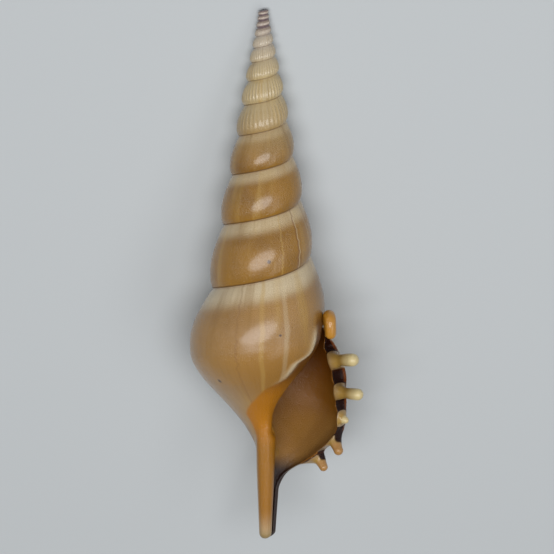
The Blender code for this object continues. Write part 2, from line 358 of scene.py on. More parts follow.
def notched(depth):
    """1 along the dark notches between fingers and teeth, 0 at their roots and off the lip."""
    pale = max(1 - smooth(abs(depth - root) / width) for root, width in PALE_ROOTS)
    return (1 - pale) * ramp(depth, *NOTCHES_START) * (1 - ramp(depth, *NOTCHES_END))


def lip_distance(turn, depth):
    """How far the outside at a turn lies from the lip's margin, along the whorl."""
    return -turn * math.tau * outer_radius(turn, depth)


def rib_height(turn, share, sizes):
    """0 between the ribs and 1 on their crests.

    The ribs stop short of both sutures, and fade out down the spire.
    """
    if not 0 < share < 1:
        return 0.0
    rib = (0.5 + 0.5 * math.cos(math.tau * sizes.ribs * (turn + RIB_LEAN * share))) ** RIB_SHARPNESS
    ribbed = 1 - ramp(turn, -sizes.ribs_end - RIBS_TO_FADE, RIBS_FADE)
    return rib * ribbed * ramp(share, *RIB_START) * (1 - ramp(share, *RIB_END))


def relief(turn, depth, sizes):
    """How far the ribs, the groove at the suture and the cord below it lift the outside."""
    share = whorl_share(turn, depth)
    above = 1 - ramp(turn, -SUTURE_FADE, SUTURE_FADE)
    below = 1 - ramp(turn, -1 - SUTURE_FADE, SUTURE_FADE)
    groove = above * bell(share, 0, GROOVE_BELOW_SUTURE) + below * bell(share, 1, GROOVE_ABOVE_SUTURE)
    cord = above * (bell(share, *CORD) - TROUGH_SHARE * bell(share, *TROUGH))
    rib = rib_height(turn, share, sizes)
    height = sizes.rib_height * rib - sizes.groove_depth * groove + sizes.cord_height * cord
    height *= SUTURE_SLOPE * depth
    if turn > -1:
        distance = lip_distance(turn, depth)
        swell = bell(distance, *SWELL) - SWELL_TROUGH_SHARE * bell(distance, *SWELL_TROUGH)
        swell *= ramp(depth, *SWELL_START) * (1 - ramp(depth, *SWELL_END))
        height += (sizes.lip_swell * swell + sizes.callus_ridge * callus_ridge(turn, depth)) / MM
    return height


def spread(share):
    """Rows crowd together towards both sutures of a whorl."""
    return mix(share, smooth(share), ROW_CROWDING)


def row_depth(turn, row):
    """The depth of a row of the body whorl; the rows crowd together along the lip."""
    waist = LIP_SUTURE + WAIST_DROP * smooth(turn + 1)
    if row <= WHORL_ROWS:
        return mix(suture_depth(turn), waist, spread(row / WHORL_ROWS))
    share = (row - WHORL_ROWS) / BODY_ROWS
    if share < LIP_ROWS_SHARE:
        return mix(waist, LIP_ROWS_END, share / LIP_ROWS_SHARE)
    left = (1 - share) / (1 - LIP_ROWS_SHARE)
    return mix(TIP_DEPTH, LIP_ROWS_END, left**TIP_CROWDING)


def scallop(depth):
    """1 at the root of a finger or tooth, falling to 0 in the notches between them."""
    nearest = min(abs(depth - prong[0][0][1]) for prong in PRONGS)
    return 1 - smooth(nearest / SCALLOP_WIDTH)


def down_lip(depth):
    """0 at the lip's thick upper part and 1 at its thinner foot."""
    return smooth((depth - LIP_TOP) / (LIP_FOOT - LIP_TOP))


def edge_turn(depth):
    """Where the lip's margin stands: it is scalloped, and it swings back along the open canal."""
    lip = mix(LIP_TURN, LOW_LIP_TURN, down_lip(depth)) + SCALLOP_TURN * (2 * scallop(depth) - 1)
    lip -= TOP_NOTCH_TURN * bell(depth, TOP_NOTCH, TOP_NOTCH_WIDTH)
    canal = smooth((depth - CANAL_EDGE_START) / (CANAL_EDGE_END - CANAL_EDGE_START))
    return mix(lip, CANAL_TURN, canal)


def place(radius, turn, depth):
    """A point of the coil, in millimetres: the apex looks to +Y and the lip to +X."""
    angle = math.tau * turn
    return Vector((radius * math.cos(angle), -depth, radius * math.sin(angle)))


def spire_point(turn, row, sizes):
    """A point of the outside between two sutures; its last row meets the next whorl's first."""
    share = spread(row / WHORL_ROWS)
    depth = suture_depth(turn) * (1 + (GROWTH - 1) * share)
    if row == WHORL_ROWS:
        depth = suture_depth(turn + 1)
        return place(suture_radius(turn + 1) + relief(turn, depth, sizes), turn, depth)
    return place(outer_radius(turn, depth) + relief(turn, depth, sizes), turn, depth)


def body_point(turn, row, sizes):
    """A point of the last whorl's outside, from its suture down to the canal's tip."""
    if turn <= -1 and row <= WHORL_ROWS:
        return spire_point(turn, row, sizes)
    depth = row_depth(turn, row)
    if row == 0:
        return place(suture_radius(turn) + relief(turn, depth, sizes), turn, suture_depth(turn))
    radius = outer_radius(turn, depth) + relief(turn, depth, sizes)
    shift = edge_turn(depth) * smooth((turn + LIP_TURNS) / LIP_TURNS)
    shift *= smooth((depth - LIP_SUTURE) / SHIFT_DROP)
    return place(radius, turn + shift, depth)


def inner_edge(row):
    """The lip's inner edge, as a radius, a turn and a depth."""
    depth = row_depth(0, row)
    radius = outer_radius(0, depth)
    share = (depth - LIP_SUTURE) / LIP_GROWN
    grown = mix(clamp(share), smooth(share), LIP_EDGE_EASE)
    slim = smooth((depth - CANAL_EDGE_START) / CANAL_THINNED)
    thickness = mix(LIP_THICKNESS, LOW_LIP_THICKNESS, down_lip(depth))
    radius -= grown * min(mix(thickness, CANAL_THICKNESS, slim), THICKNESS_SHARE * radius)
    turn = edge_turn(depth) + mix(NOTCH_RIM_TURN, PRONG_RIM_TURN, scallop(depth)) * (1 - slim)
    return radius, turn * grown, depth


def rim_point(across, row, sizes):
    """Across the lip's rounded end, from its outer margin at 0 to its inner edge at 1."""
    outside = body_point(0, row, sizes)
    radius, turn, depth = inner_edge(row)
    inside = place(radius, turn, depth)
    corner = place(outer_radius(0, depth), turn, depth)
    roundness = mix(sizes.notch_roundness, sizes.lip_roundness, scallop(depth))
    corner = outside.lerp(inside, 0.5).lerp(corner, roundness)
    return outside.lerp(corner, across).lerp(corner.lerp(inside, across), across)


def columella_radius(back, depth):
    """The hollow's inner wall: the whorl before, thinned to a groove along the canal."""
    radius = outer_radius(-1 - back, depth)
    canal = smooth((depth - CANAL_START) / CANAL_FORMED)
    share = mix(1.0, GROOVE_SHARE, smooth(back / GROOVE_TURNS))
    return radius * mix(1.0, share, canal)


def hollow_bottom(back):
    """The depth of the hollow's floor, back turns behind the lip, where the canal is soon closed off."""
    closed = HOLLOW_BOTTOM * GROWTH**-back
    return mix(TIP_DEPTH, closed, smooth(back / BOTTOM_TURNS))


def hollow_point(back, row):
    """A point of the hollow's wall, back turns behind the lip: down its outer wall, then up the columella."""
    inner = row > LAST_ROW
    rung = 2 * LAST_ROW - row if inner else row
    shrink = GROWTH ** (-WALL_GROWTH * back)
    roof = mix(LIP_ROOF, ROOF * shrink, smooth(back / LIP_TURNS)) * smooth(back / ROOF_TURNS)
    roof += suture_depth(-back)
    floor = hollow_bottom(back)
    share = (row_depth(-1 if inner else 0, rung) - LIP_SUTURE) / (TIP_DEPTH - LIP_SUTURE)
    depth = mix(roof, floor, share)
    column = columella_radius(back, depth)
    outer = outer_radius(-back, depth)
    wall = min(WALL * shrink, 0.5 * max(0.0, outer - column))
    middle = (outer - wall + column) / 2
    end = clamp(min(depth - roof, floor - depth) / (HOLLOW_ROUND_OFF * shrink))
    round_off = mix(1.0, math.sqrt(1 - (1 - end) ** 2), smooth(back / WALL_TURNS))
    if rung in (0, LAST_ROW) or (inner and rung == WHORL_ROWS):
        return place(middle, -back, depth)
    if inner:
        return place(mix(middle, column, round_off), -back, depth)
    edge_radius, edge, edge_depth = inner_edge(rung)
    lip = smooth(back / WALL_TURNS)
    radius = mix(edge_radius, mix(middle, outer - wall, round_off), lip)
    return place(radius, -back + edge * (1 - smooth(back / LIP_TURNS)), mix(edge_depth, depth, lip))


def grid_sheet(bm, columns, rows, point_of):
    """A grid moved onto the surface that point_of(column, row) gives. The vertices, by column and row."""
    made = bmesh.ops.create_grid(bm, x_segments=columns, y_segments=rows, size=1.0)["verts"]
    sheet = {}
    for vertex in made:
        column = round((vertex.co.x + 1) / 2 * columns)
        row = round((vertex.co.y + 1) / 2 * rows)
        sheet[column, row] = vertex
    for (column, row), vertex in sheet.items():
        vertex.co = point_of(column, row)
    return sheet


def mark_vertex(vertex, layers, *values):
    """Writes a value for each layer on the corners at a vertex, where a material can read it."""
    for loop in vertex.link_loops:
        for name, value in zip(CORNER_LAYERS, values):
            loop[layers[name]] = value


def mark_sheet(sheet, layers, values_of):
    for (column, row), vertex in sheet.items():
        mark_vertex(vertex, layers, *values_of(column, row))


def prong_radius(share, root_radius, neck_radius, tip_radius):
    """A prong narrows from its flared root to its neck, and swells a little to its tip."""
    neck = mix(root_radius, neck_radius, smooth(share / FLARE))
    return mix(neck, tip_radius, ramp(share, *BULB))


def prong_frames(path, radii, rings):
    """Along a prong and over its domed tip: each ring's share, centre, size, and the directions in it."""
    points = [Vector((x, -depth, forwards)) for x, depth, forwards in path]
    last = len(points) - 1
    along = Vector((0, -1, 0))
    length = sum((b - a).length for a, b in zip(points, points[1:]))
    tip_radius = radii[-1]
    reach = last * (1 - TIP_SET_BACK * tip_radius / length)
    for ring in range(1, rings + 1):
        share = ring / rings
        at = reach * share
        centre = curve_through(points, at)
        ahead = curve_through(points, min(at + STEP, last)) - curve_through(points, at - STEP)
        ahead.normalize()
        if ring == 1:
            across = along.cross(ahead).normalized()
        along = ahead.cross(across).normalized()
        across = along.cross(ahead).normalized()
        yield share, centre, prong_radius(share, *radii), along, across
    for ring in range(1, DOME_RINGS + 1):
        bend = math.pi / 2 * ring / DOME_RINGS
        size = tip_radius * max(math.cos(bend), DOME_END)
        yield 1.0, centre + ahead * tip_radius * math.sin(bend), size, along, across


def grow_prong(bm, layers, sheet, path, *radii, rings):
    """Extrudes the part of the rim beside a path's root along the path, into a round prong."""
    root = path[0][1]
    rows = [row for row in range(LAST_ROW) if abs(row_depth(0, row + 0.5) - root) < radii[0]]
    low, high = rows[0], rows[-1] + 1
    corners = []
    for row in range(low, high + 1):
        for column in range(RIM_COLUMNS + 1):
            vertex = sheet[column, row]
            u = 2 * column / RIM_COLUMNS - 1
            w = 2 * (row - low) / (high - low) - 1
            disc = (u * math.sqrt(1 - w * w / 2), w * math.sqrt(1 - u * u / 2), 0)
            vertex[layers["section"]] = disc
            corners.append(vertex)
    around = dict.fromkeys(face for vertex in corners for face in vertex.link_faces)
    faces = [face for face in around if set(face.verts) <= set(corners)]
    grown = []
    for share, centre, size, along, across in prong_frames(path, radii, rings):
        made = bmesh.ops.extrude_face_region(bm, geom=faces)["geom"]
        bmesh.ops.delete(bm, geom=faces, context="FACES")
        faces = [item for item in made if isinstance(item, bmesh.types.BMFace)]
        for vertex in (item for item in made if isinstance(item, bmesh.types.BMVert)):
            disc = vertex[layers["section"]]
            vertex.co = centre + (across * disc.x + along * disc.y) * size
            grown.append((vertex, share, (vertex.co - centre).normalized()))
    for vertex, share, outward in grown:
        if vertex.is_valid:
            flank = smooth((outward.x + outward.y) / STAINED_FLANK) * (1 - ramp(share, *STAIN_END))
            stain = FLANK_STAIN * flank * ramp(root, *STAINED_TEETH)
            mark_vertex(vertex, layers, (0, 1, -vertex.co.y), (0.5, 0, share), (0, 0, stain))


def add_spire(bm, layers, sizes):
    first_turn = math.log(APEX_DEPTH / LIP_SUTURE) / math.log(GROWTH)
    columns = round((-1 - first_turn) * COLUMNS)
    first_turn = -1 - columns / COLUMNS

    def point_of(column, row):
        return spire_point(first_turn + column / COLUMNS, row, sizes)

    def values_of(column, row):
        turn, share = first_turn + column / COLUMNS, spread(row / WHORL_ROWS)
        depth = suture_depth(turn) * (1 + (GROWTH - 1) * share)
        # Paler rib crests, brightened as a painted highlight, go in the ridge mark.
        crest_highlight = RIB_CREST_HIGHLIGHT * rib_height(turn, share, sizes)
        return (turn, share, depth), (0, FAR_FROM_LIP, 0), (0, crest_highlight, 0)

    mark_sheet(grid_sheet(bm, columns, WHORL_ROWS, point_of), layers, values_of)


def add_body(bm, layers, sizes):
    """The last whorl's outside."""

    def point_of(column, row):
        return body_point(column / COLUMNS - 1, row, sizes)

    def values_of(column, row):
        turn = column / COLUMNS - 1
        depth = row_depth(turn, row)
        distance = lip_distance(turn, depth)
        callus = smooth((callus_edge(depth) - turn) / CALLUS_BLEND + 0.5) * ramp(depth, *CALLUS_START)
        stain = notched(depth) * (1 - smooth(distance / STAIN_OUTSIDE))
        coil = (turn, whorl_share(turn, depth), depth)
        return coil, (0, distance, 0), (callus, callus_ridge(turn, depth), stain)

    mark_sheet(grid_sheet(bm, COLUMNS, LAST_ROW, point_of), layers, values_of)


def add_rim(bm, layers, sizes):
    """The lip's rounded end, from which the prongs grow."""

    def point_of(column, row):
        return rim_point(column / RIM_COLUMNS, row, sizes)

    def values_of(column, row):
        depth = row_depth(0, row)
        return (0, 1, depth), (column / RIM_COLUMNS, 0, 0), (0, 0, notched(depth))

    rim = grid_sheet(bm, RIM_COLUMNS, LAST_ROW, point_of)
    mark_sheet(rim, layers, values_of)
    for *prong, rings in PRONGS:
        grow_prong(bm, layers, rim, *prong, rings=rings)


def add_hollow(bm, layers, sizes):
    """The wall's inside and the columella, closed HOLLOW_TURNS behind the lip."""
    steps = [(step / HOLLOW_COLUMNS) ** HOLLOW_CROWDING for step in range(HOLLOW_COLUMNS + 1)]
    spacing = [HOLLOW_TURNS * step for step in steps]
    middle = 0.5 * (suture_depth(-HOLLOW_TURNS) + hollow_bottom(HOLLOW_TURNS))
    radius = (columella_radius(HOLLOW_TURNS, middle) + outer_radius(-HOLLOW_TURNS, middle)) / 2
    closing = place(radius, -HOLLOW_TURNS, middle)

    def point_of(column, row):
        if column == 0:
            return rim_point(1, row, sizes) if row <= LAST_ROW else body_point(-1, 2 * LAST_ROW - row, sizes)
        return closing if column == HOLLOW_COLUMNS else hollow_point(spacing[column], row)

    def values_of(column, row):
        inner = row > LAST_ROW
        back = spacing[column]
        depth = row_depth(-1 if inner else 0, 2 * LAST_ROW - row if inner else row)
        callus = (1 - smooth(back / CALLUS_INSIDE)) * ramp(depth, *CALLUS_START) if inner else 0
        stain = 0 if inner else notched(depth) * (1 - smooth(back / STAIN_INSIDE))
        coil = ((-1 if inner else 0) - back, 1, -point_of(column, row).y)
        return coil, (1 + back, 0, 0), (callus, 0, stain)

    sheet = grid_sheet(bm, HOLLOW_COLUMNS, 2 * LAST_ROW - WHORL_ROWS, point_of)
    mark_sheet(sheet, layers, values_of)


def shell_mesh(sizes):
    """The whole shell as one closed surface, in millimetres along its coiling axis."""
    bm = bmesh.new()
    layers = {name: bm.loops.layers.float_vector.new(name) for name in CORNER_LAYERS}
    layers["section"] = bm.verts.layers.float_vector.new("section")
    add_spire(bm, layers, sizes)
    add_body(bm, layers, sizes)
    add_rim(bm, layers, sizes)
    add_hollow(bm, layers, sizes)
    bmesh.ops.remove_doubles(bm, verts=bm.verts, dist=MERGE_DISTANCE)
    for path, root_radius, *_ in PRONGS:
        root = Vector((path[0][0], -path[0][1], path[0][2]))
        near = [vertex for vertex in bm.verts if (vertex.co - root).length < ROOT_SPREAD * root_radius]
        for _ in range(ROOT_SMOOTHINGS):
            bmesh.ops.smooth_vert(
                bm, verts=near, factor=0.5, use_axis_x=True, use_axis_y=True, use_axis_z=True
            )
    open_edges = [edge for edge in bm.edges if edge.is_boundary]
    made = bmesh.ops.extrude_edge_only(bm, edges=open_edges)["geom"]
    apex = [item for item in made if isinstance(item, bmesh.types.BMVert)]
    bmesh.ops.pointmerge(bm, verts=apex, merge_co=Vector((0, -APEX_DEPTH * BLUNT_TOP, 0)))
    bmesh.ops.recalc_face_normals(bm, faces=bm.faces)
    return bm


def resting_matrix(bm):
    """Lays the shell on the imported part's place: turned about X, then level with its box."""
    turn = Matrix.Rotation(PITCH, 4, "X") @ Matrix.Scale(MM, 4)
    places = [turn @ vertex.co for vertex in bm.verts]
    low = [min(p[i] for p in places) for i in range(3)]
    high = [max(p[i] for p in places) for i in range(3)]
    box_low, box_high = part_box("shell")
    shift = Vector(
        (
            (box_low[0] + box_high[0] - low[0] - high[0]) / 2,
            (box_low[1] + box_high[1] - low[1] - high[1]) / 2,
            box_low[2] - low[2],
        )
    )
    return Matrix.Translation(shift) @ turn


def srgb(red, green, blue):
    """A colour given from 0 to 255 as it looks, in the linear values that shaders take."""
    values = [c / 255 for c in (red, green, blue)]
    return tuple(c / 12.92 if c < 0.04045 else ((c + 0.055) / 1.055) ** 2.4 for c in values) + (1.0,)


# The shell's colours.
GOLDEN = srgb(156, 111, 28)
DEEP_GOLDEN = srgb(132, 91, 18)
PALE_GOLDEN = srgb(190, 153, 80)
EARLY_YELLOW = srgb(198, 178, 132)
AMBER = srgb(160, 112, 34)
ROSY_TAN = srgb(174, 134, 80)
# A pale band below each suture, brightened as a painted highlight.
PALE_BAND_AND_HIGHLIGHT = srgb(210, 190, 152)
PEARL = srgb(208, 190, 156)
# Brown of the dark growth scars, and of the painted shade along the sutures.
DARK_SCAR_AND_SHADE_BROWN = srgb(128, 84, 40)
EARLY_GREY = srgb(194, 182, 166)
APEX_MAUVE = srgb(116, 96, 100)
# Painted highlight: the pale band across each of the first whorls.
APEX_HIGHLIGHT_WHITE = srgb(190, 176, 170)
LIP_STRAW = srgb(194, 165, 98)
CREAM = srgb(168, 132, 60)
KNOB_GOLD = srgb(190, 132, 36)
ROOT_TAN = srgb(156, 124, 76)
TOOTH_GOLD = srgb(176, 128, 66)
# Paler fingertips, brightened as a painted highlight.
PALE_TIP_AND_HIGHLIGHT = srgb(214, 194, 140)
LIP_GREY = srgb(158, 126, 84)
LIP_BUFF = srgb(126, 98, 62)
CHOCOLATE = srgb(34, 9, 2)
RUST = srgb(106, 52, 12)
CALLUS_ORANGE = srgb(182, 115, 0)
CALLUS_BROWN = srgb(112, 66, 6)
CALLUS_TAN = srgb(160, 105, 0)
MOUTH_TAN = srgb(106, 56, 0)
MOUTH_DEEP = srgb(102, 57, 0)
MOUTH_LOW = srgb(160, 110, 34)
LIP_GOLD = srgb(150, 98, 36)
SPOT = srgb(76, 48, 22)
TIP_WHITE = srgb(158, 134, 88)

# Where colours come in along the coil: nothing at the first depth or turn, and all at the second.
YELLOW_WHORLS = (48, 24)
GREY_WHORLS = (22, 11)
APEX_WHORLS = (11.5, 8)
BANDED_WHORLS = (14, 60)
ROSY_START = (-0.97, -0.88)
ROSY_END = (-0.36, -0.56)
AMBER_DEPTH = (88, 104)
AMBER_START = (-0.98, -0.9)
AMBER_END = (-0.6, -0.8)
PALE_BASE_DEPTH = (103, 115)
PALE_BASE_START = (-0.82, -0.66)
PALE_BASE_END = (-0.4, -0.55)
LIP_TOP_COLOUR = (92, 97)
LIP_FOOT_COLOUR = (138, 128)
CALLUS_TOP = (111, 102)
CALLUS_PALER = (120, 128)
CANAL_PALER = (144, 152)
CANAL_TIP = (149.5, 152.5)
MOUTH_LOWER = (104, 126)
GREY_LIP_DEPTH = (116, 124)
# Painted shade inside the canal.
CANAL_PAINTED_SHADE = (129, 135)
RIM_BUFF = (124, 128)
RIM_DARK = (132, 136)
GOLDEN_TEETH = (122, 124)
GOLDEN_HOOK = (97.5, 96)
# The same across a whorl, from its suture at 0, in millimetres from the lip, and on the wall.
# The pale band below a suture, brightened as a painted highlight, on the spire and on the body whorl.
BAND_AND_HIGHLIGHT = (0.3, 0.1)
BODY_BAND_AND_HIGHLIGHT = (0.34, 0.1)
# Painted shade: a brown line along each suture's crease.
SUTURE_SHADE_BELOW = (0.03, 0.008)
SUTURE_SHADE_ABOVE = (0.965, 0.985)
SPIRE_ONLY = (-1.0, -1.02)
# The painted highlight band across each of the first whorls, as shares of the whorl.
APEX_HIGHLIGHT_START = (0.35, 0.5)
APEX_HIGHLIGHT_END = (0.8, 0.62)
STRAW_MARGIN = (7, 1)
DEEPER_IN = (1.0, 1.4)
NEAR_LIP = (1.2, 1.01)
INNER_EDGE = (1.04, 1.004)

# Pale and dark lines of growth and repair: the turn, the width as a share of a turn, the strength
# and the colour.  Lines wider than WIDE_MARK swing slowly, and the others are jagged.
GROWTH_MARKS = (
    (-0.797, 0.010, 0.26, PEARL),
    (-0.735, 0.009, 0.4, PALE_GOLDEN),
    (-0.672, 0.004, 0.3, DARK_SCAR_AND_SHADE_BROWN),
    (-0.30, 0.006, 0.3, PALE_GOLDEN),
    (-1.862, 0.0035, 0.75, DARK_SCAR_AND_SHADE_BROWN),
    (-1.867, 0.003, 0.5, PEARL),
    (-1.93, 0.002, 0.4, PEARL),
    (-1.80, 0.004, 0.4, PALE_GOLDEN),
    (-1.16, 0.005, 0.5, DARK_SCAR_AND_SHADE_BROWN),
)
WIDE_MARK = 0.0075

# Small dark spots: the turn, the depth, and the radius in millimetres; a turn is about TURN_MM there.
SPOTS = ((-1.766, 71.2, 0.75), (-0.608, 105.5, 0.7), (-0.79, 91.0, 0.45), (-0.2, 96.0, 0.5))
TURN_MM = 90.0

# The finish, polished and stained, and its unevenness: how coordinates in metres are stretched and
# moved for the noise, and the noise's scales.
GLOSS = 0.55
COAT = 0.65
COAT_LOST_INSIDE = 0.55
COAT_LOST_ON_CALLUS = 0.7
COAT_ROUGHNESS = 0.2
STAIN_GLOSS = 0.15
STAIN_ROUGHNESS = 0.14
GRAIN_STRETCH = (20.86, 6.807, 27.38)
GRAIN_START = (0.5, 0.5, 0.0)
PIT_SCALE = 900.0
DENT_SCALE = 260.0
UNEVENNESS = 0.0002

# The stage: each light's width in metres, power in watts and place from the shell's middle.
KEY_LIGHT = (0.85, 5.3, (-0.03, 0.14, 0.75))
FILL_LIGHT = (0.9, 1.1, (0.5, -0.2, 0.7))
LIGHT_HEIGHT = 0.4
SKY_COLOUR = (1.0, 0.98, 0.94, 1.0)
SKY_STRENGTH = 0.14
FLOOR_SIZE = 1.5
FLOOR_ROUGHNESS = 0.8
CLIP_START = 0.01


def share_size(name, description, default):
    return FloatProperty(name=name, description=description, default=default, subtype="FACTOR")


class ShellSizes(PropertyGroup):
    ribs: FloatProperty(
        name="Ribs",
        description="Ribs along the axis on each early whorl",
        default=35,
        min=10,
        max=60,
        subtype="UNSIGNED",
    )
    ribs_end: FloatProperty(
        name="Ribs end",
        description="Whorls behind the lip at which the ribs have faded",
        default=4,
        min=1,
        max=10,
        subtype="UNSIGNED",
    )
    rib_height: share_size("Rib height", "Height of a rib, as a share of the radius", 0.05)
    groove_depth: share_size("Suture depth", "Depth of the suture, as a share of the radius", 0.008)
    cord_height: share_size("Cord height", "Cord below a suture, as a share of the radius", 0.005)
    lip_roundness: share_size("Lip roundness", "How full the lip's end is at a finger, from flat at 0", 0.6)
    notch_roundness: share_size("Notch roundness", "How full the lip is in a notch, hollow below 0", -0.7)
    lip_swell: FloatProperty(
        name="Lip swell",
        description="Height of the swelling along the lip",
        default=0.0003,
        precision=4,
        unit="LENGTH",
    )
    callus_ridge: FloatProperty(
        name="Callus ridge",
        description="Height of the callus's edge by the mouth",
        default=0.0004,
        precision=4,
        unit="LENGTH",
    )


def colour_choice(name, description, default):
    colour = default[:3]
    return FloatVectorProperty(name=name, description=description, default=colour, size=3, subtype="COLOR")


class ShellColours(PropertyGroup):
    shell: colour_choice("Shell", "Main colour of the outside", GOLDEN)
    callus: colour_choice("Callus", "Colour of the glaze on the columella", CALLUS_ORANGE)
    mouth: colour_choice("Mouth", "Colour of the inside below the lip's middle", MOUTH_LOW)
    # The notches' colour also paints the shade inside the canal.
    notches: colour_choice("Notches", "Colour of the stained lip between the fingers", CHOCOLATE)
    fingers: colour_choice("Fingers", "Colour of the fingers and teeth", CREAM)
    hook: colour_choice("Hook", "Colour of the hook at the top of the lip", KNOB_GOLD)
    apex: colour_choice("Apex", "Colour of the first whorls", APEX_MAUVE)


class ShellStage(PropertyGroup):
    floor_colour: colour_choice("Floor", "Colour of the floor", (0.52, 0.55, 0.57))
    distance: FloatProperty(
        name="Camera distance", description="From the shell's axis to the camera", default=1.2, unit="LENGTH"
    )
    tilt: FloatProperty(
        name="Camera tilt",
        description="How far the camera leans towards the apex, from square to the axis",
        default=math.radians(12),
        subtype="ANGLE",
    )
    roll: FloatProperty(
        name="Camera roll",
        description="How far the camera turns about its view",
        default=-0.002,
        subtype="ANGLE",
    )
    aim: FloatVectorProperty(
        name="Aim",
        description="Where the camera looks, from the middle of the shell",
        default=(0.0002, 0.0013, 0.0),
        size=3,
        subtype="TRANSLATION",
    )
    lens: FloatProperty(
        name="Lens", description="Focal length on a 36 mm sensor", default=283, unit="CAMERA"
    )


class Shade:
    """A socket of a material's nodes, so that sums are written as Python expressions."""

    def __init__(self, tree, socket=None):
        self.tree = tree
        self.socket = socket

    def node(self, kind, sockets=None, output=0, **settings):
        """Adds a node: its settings first, then values or links for its sockets. Wraps one output."""
        made = self.tree.nodes.new(kind)
        for name, value in settings.items():
            setattr(made, name, value)
        for name, value in (sockets or {}).items():
            socket = made.inputs[name]
            if isinstance(value, Shade):
                self.tree.links.new(value.socket, socket)
            else:
                socket.default_value = value
        return Shade(self.tree, made.outputs[output])

    def maths(self, operation, *others):
        """A Math node of this value and the others."""
        return self.node("ShaderNodeMath", dict(enumerate((self, *others))), operation=operation)

    def __add__(self, other):
        return self.maths("ADD", other)

    __radd__ = __add__

    def __sub__(self, other):
        return self.maths("SUBTRACT", other)

    def __rsub__(self, other):
        return self.node("ShaderNodeMath", {0: other, 1: self}, operation="SUBTRACT")

    def __mul__(self, other):
        return self.maths("MULTIPLY", other)

    __rmul__ = __mul__

    def smooth_step(self, start, end):
        """0 below start and 1 above end, with an S-shaped slope between them."""
        sockets = {"Value": self, "From Min": start, "From Max": end}
        return self.node("ShaderNodeMapRange", sockets, interpolation_type="SMOOTHSTEP")

    def blend(self, first, second):
        """This share of the second colour over the first."""
        return self.node("ShaderNodeMix", {0: self, 6: first, 7: second}, output=2, data_type="RGBA")


def growth_noise(turn, depth, lines, runs, detail=3.0):
    """Noise drawn out along the growth: so many cells to a turn, and so many to a millimetre of depth."""
    place_at = turn.node("ShaderNodeCombineXYZ", {0: turn * lines, 1: depth * runs})
    return turn.node("ShaderNodeTexNoise", {"Vector": place_at, "Scale": 1.0, "Detail": detail})


def line_at(turn, wobble, at, width):
    """1 on a line down the growth at a turn, as wide as a share of a turn, with a wobble."""
    away = turn + wobble - at
    return 1 - away.maths("ABSOLUTE").smooth_step(width * 0.3, width)


def whorl_colour(coil, noises, shell):
    """The outside before its marks: paler up the spire, streaked by growth, with a pale band below the
    sutures that is brightened as a painted highlight.
    """
    turn, share, depth = coil
    blotches, streaks, fine = noises
    colour = blotches.smooth_step(0.35, 0.65).blend(shell, DEEP_GOLDEN)
    colour = (depth.smooth_step(*YELLOW_WHORLS) * 0.9).blend(colour, EARLY_YELLOW)
    colour = depth.smooth_step(*GREY_WHORLS).blend(colour, EARLY_GREY)
    rosy = turn.smooth_step(*ROSY_START) * turn.smooth_step(*ROSY_END)
    colour = (rosy * 0.6).blend(colour, ROSY_TAN)
    # A pale band below each suture, brightened as a painted highlight; on the body whorl it goes to pearl.
    band_and_highlight = share.smooth_step(*BAND_AND_HIGHLIGHT) * depth.smooth_step(*BANDED_WHORLS) * (0.45 + streaks)
    colour = (band_and_highlight * 0.8).blend(colour, PALE_BAND_AND_HIGHLIGHT)
    colour = (rosy * share.smooth_step(*BODY_BAND_AND_HIGHLIGHT) * (0.3 + streaks)).blend(colour, PEARL)
    colour = (streaks.smooth_step(0.55, 0.72) * 0.38).blend(colour, PALE_GOLDEN)
    colour = (streaks.smooth_step(0.45, 0.3) * 0.3).blend(colour, DEEP_GOLDEN)
    colour = (fine.smooth_step(0.5, 0.68) * 0.16).blend(colour, DEEP_GOLDEN)
    amber = turn.smooth_step(*AMBER_START) * turn.smooth_step(*AMBER_END)
    colour = (amber * depth.smooth_step(*AMBER_DEPTH) * 0.85).blend(colour, AMBER)
    base = turn.smooth_step(*PALE_BASE_START) * turn.smooth_step(*PALE_BASE_END)
    return (base * depth.smooth_step(*PALE_BASE_DEPTH) * 0.15).blend(colour, PEARL)


def marked(colour, coil, apex_tint):
    """The outside with its scars and spots, painted shade along the sutures, and the apex in its own colour
    with a painted highlight band across each whorl.
    """
    turn, share, depth = coil
    jagged = growth_noise(turn, depth, 0.0, 0.5) * 0.022
    slow = growth_noise(turn, depth, 0.0, 0.12, 1.0) * 0.02
    for at, width, strength, tint in GROWTH_MARKS:
        line = line_at(turn, slow if width > WIDE_MARK else jagged, at, width)
        colour = (line * strength).blend(colour, tint)
    for at, height, size in SPOTS:
        across, down = (turn - at) * TURN_MM, depth - height
        away = across * across + down * down
        colour = away.smooth_step(size * size, 0.0).blend(colour, SPOT)
    # Painted shade along each suture's crease: a brown line below it and, on the spire, above it.
    above = share.smooth_step(*SUTURE_SHADE_ABOVE) * turn.smooth_step(*SPIRE_ONLY)
    suture = (share.smooth_step(*SUTURE_SHADE_BELOW) + above).maths("MINIMUM", 1.0)
    colour = (suture * 0.35).blend(colour, DARK_SCAR_AND_SHADE_BROWN)
    # Painted highlight: a pale band across the middle of each of the first whorls.
    highlight_bands = share.smooth_step(*APEX_HIGHLIGHT_START) * share.smooth_step(*APEX_HIGHLIGHT_END)
    return depth.smooth_step(*APEX_WHORLS).blend(colour, highlight_bands.blend(apex_tint, APEX_HIGHLIGHT_WHITE))


